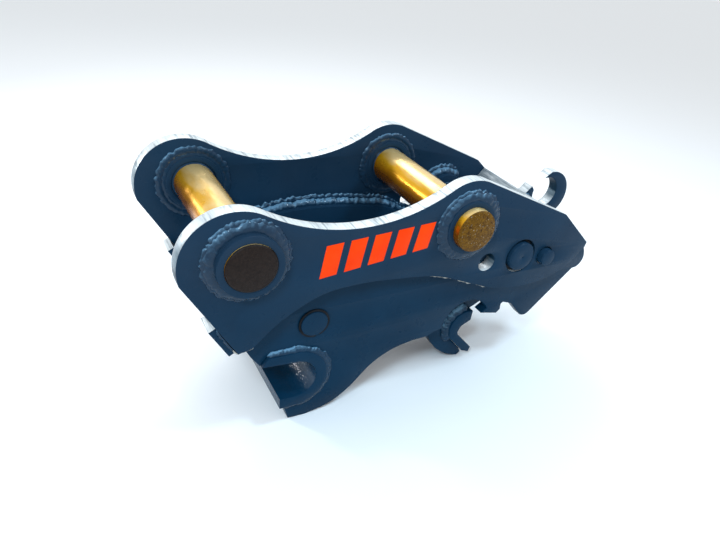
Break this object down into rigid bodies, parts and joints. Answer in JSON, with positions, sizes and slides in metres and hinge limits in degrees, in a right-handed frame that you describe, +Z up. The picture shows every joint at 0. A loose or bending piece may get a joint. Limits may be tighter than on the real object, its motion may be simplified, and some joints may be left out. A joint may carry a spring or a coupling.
{
  "type": "quick coupler",
  "caption": "Hydraulic quick coupler for an excavator: two pinned ear plates over a frame with an open front jaw and a swinging rear hook worked by a cylinder.",
  "frame": {"origin": "middle of the coupler's footprint, on the plane it stands on, midway between the ears", "axes": "+X from the stick pin towards the link pin and the rear hook, +Y to the right across the coupler, along the pins, +Z up"},
  "size_m": [1.0198, 0.434, 0.5188],
  "materials": {
    "navy_paint": "gloss enamel over thick plate",
    "gold_pin": "yellow passivated, ground",
    "bare_steel": "machined",
    "rod_chrome": "polished",
    "bronze_bush": "machined",
    "black_steel": "blackened, satin"
  },
  "bodies": {
    "frame": {"ear_plate_left": "navy_paint", "ear_plate_right": "navy_paint", "stick_boss_outer_left": "navy_paint", "stick_boss_outer_right": "navy_paint", "link_boss_outer_left": "navy_paint", "link_boss_outer_right": "navy_paint", "stick_boss_inner_left": "navy_paint", "stick_boss_inner_right": "navy_paint", "link_boss_inner_left": "navy_paint", "link_boss_inner_right": "navy_paint", "side_plate_left": "navy_paint", "side_plate_right": "navy_paint", "front_jaw_saddle": "navy_paint", "front_block_left": "navy_paint", "front_block_right": "navy_paint", "rear_cross_plate": "navy_paint", "lifting_hook": "navy_paint", "stick_pin": "gold_pin", "link_pin": "gold_pin", "cylinder_base_pin": "navy_paint", "hook_stop_pin": "navy_paint", "hook_pivot_pin": "navy_paint", "pivot_bush_left": "bronze_bush", "pivot_bush_right": "bronze_bush", "base_pin_spacer_left": "bare_steel", "base_pin_spacer_right": "bare_steel", "base_pin_circlip_left": "black_steel", "base_pin_circlip_right": "black_steel"},
    "hook": {"hook_plate_left": "navy_paint", "hook_plate_right": "navy_paint", "hook_saddle": "navy_paint", "hook_hub": "navy_paint", "hook_web": "navy_paint", "hook_bush_left": "bronze_bush", "hook_bush_right": "bronze_bush", "rod_pin": "bare_steel", "rod_pin_circlip_left": "black_steel", "rod_pin_circlip_right": "black_steel", "rod_pin_spacer_left": "bare_steel", "rod_pin_spacer_right": "bare_steel"},
    "barrel": {"cylinder_barrel": "navy_paint", "cylinder_gland": "black_steel", "check_valve_block": "bare_steel", "hose_fitting_extend": "bare_steel", "hose_fitting_retract": "bare_steel"},
    "rod": {"cylinder_rod": "rod_chrome", "cylinder_piston": "bare_steel"}
  },
  "joints": [
    {"name": "hook_swing", "type": "hinge", "parent": "frame", "child": "hook", "pos_m": [0.22588, 0, 0.323], "axis": [0, -1, 0], "range_deg": [-18, 1.5]},
    {"name": "cylinder_swing", "type": "hinge", "parent": "frame", "child": "barrel", "pos_m": [-0.25812, 0, 0.242], "axis": [0, -1, 0], "range_deg": [-0.45, 4.9]},
    {"name": "rod_slide", "type": "slide", "parent": "barrel", "child": "rod", "axis": [0.9981, 0, -0.0611], "range_m": [-0.03, 0.0026]}
  ],
  "couplings": [
    {"joint": "cylinder_swing", "follows": "hook_swing", "ratio": -0.2676},
    {"joint": "rod_slide", "follows": "hook_swing", "m_per_rad": 0.0944}
  ]
}
